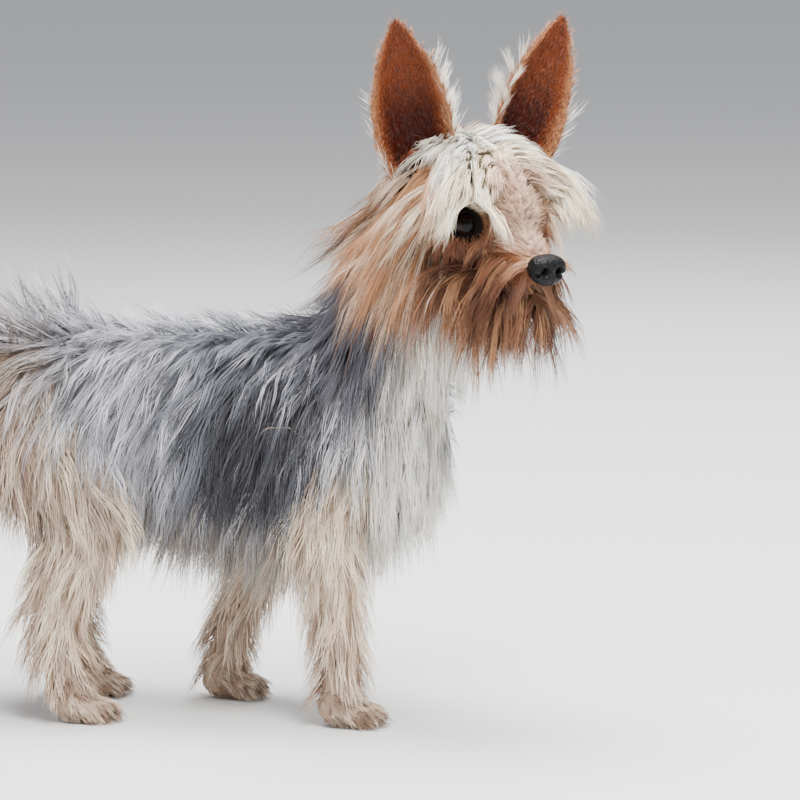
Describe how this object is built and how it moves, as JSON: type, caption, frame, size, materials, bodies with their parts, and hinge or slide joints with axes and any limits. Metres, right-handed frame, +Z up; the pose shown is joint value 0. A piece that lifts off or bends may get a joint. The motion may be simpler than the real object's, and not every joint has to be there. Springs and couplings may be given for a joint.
{
  "type": "yorkshire terrier, still museum model",
  "caption": "Life-size Yorkshire terrier with a long tan and steel-blue coat, standing with its head turned to its right.",
  "frame": {"origin": "on the floor, under the middle of the dog's bounding box", "axes": "+X the way the body heads, +Y to the dog's left, +Z up from the floor"},
  "size_m": [0.4014, 0.1554, 0.3794],
  "materials": {
    "blue_coat": "long silky steel-blue hair",
    "dark_coat": "long silky blue-black hair",
    "golden_hair": "long silky golden and cream hair",
    "tan_hair": "soft cream and tan hair",
    "ear_fur": "short red-brown fur",
    "nose_leather": "moist black nose leather",
    "eye": "dark glass eye"
  },
  "bodies": {
    "root": {"torso": "blue_coat", "neck": "dark_coat", "head": "golden_hair", "nose": "nose_leather", "eye_right": "eye", "eye_left": "eye", "ear_right": "ear_fur", "ear_left": "ear_fur", "foreleg_right": "tan_hair", "foreleg_left": "tan_hair", "thigh_right": "tan_hair", "thigh_left": "tan_hair", "hindleg_right": "tan_hair", "hindleg_left": "tan_hair", "forepaw_right": "tan_hair", "forepaw_left": "tan_hair", "hindpaw_right": "tan_hair", "hindpaw_left": "tan_hair", "tail": "blue_coat"}
  },
  "joints": []
}
